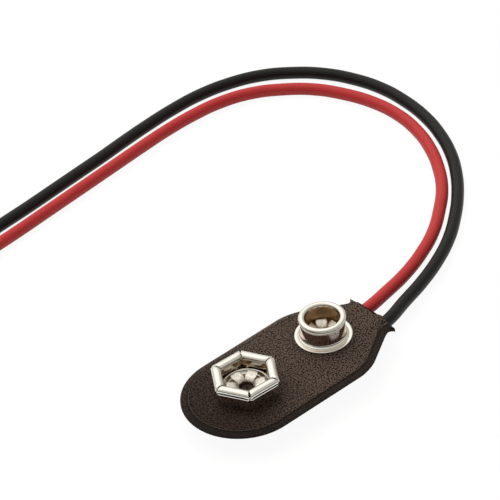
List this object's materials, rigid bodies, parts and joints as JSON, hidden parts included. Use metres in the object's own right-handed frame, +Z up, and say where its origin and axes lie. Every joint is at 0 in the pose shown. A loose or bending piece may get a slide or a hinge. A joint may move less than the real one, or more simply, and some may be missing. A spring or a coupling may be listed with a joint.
{
  "type": "battery snap",
  "caption": "Soft vinyl pad with a stud and a hexagonal spring socket that snap onto a block battery's terminals, with red and black leads.",
  "frame": {"origin": "under the middle of the pad, on the surface that the pad lies on", "axes": "+X along the pad from the socket to the stud and on to the neck, +Z up out of the terminals"},
  "size_m": [0.0981, 0.059, 0.0058],
  "materials": {
    "vinyl": "fine pebbled grain, matt",
    "fibre_board": "pressed fibre, matt",
    "nickel": "bright nickel plate",
    "red_pvc": "soft sheen",
    "black_pvc": "soft sheen",
    "tinned_copper": "tinned strands",
    "solder": "satin"
  },
  "bodies": {
    "root": {"top_cover": "vinyl", "bottom_cover": "vinyl", "terminal_board": "fibre_board", "stud_terminal": "nickel", "stud_rivet": "nickel", "socket_terminal": "nickel", "socket_rivet": "nickel", "red_lead": "red_pvc", "red_tip": "tinned_copper", "red_tail": "tinned_copper", "red_solder_joint": "solder", "black_lead": "black_pvc", "black_tip": "tinned_copper", "black_tail": "tinned_copper", "black_solder_joint": "solder"}
  },
  "joints": []
}
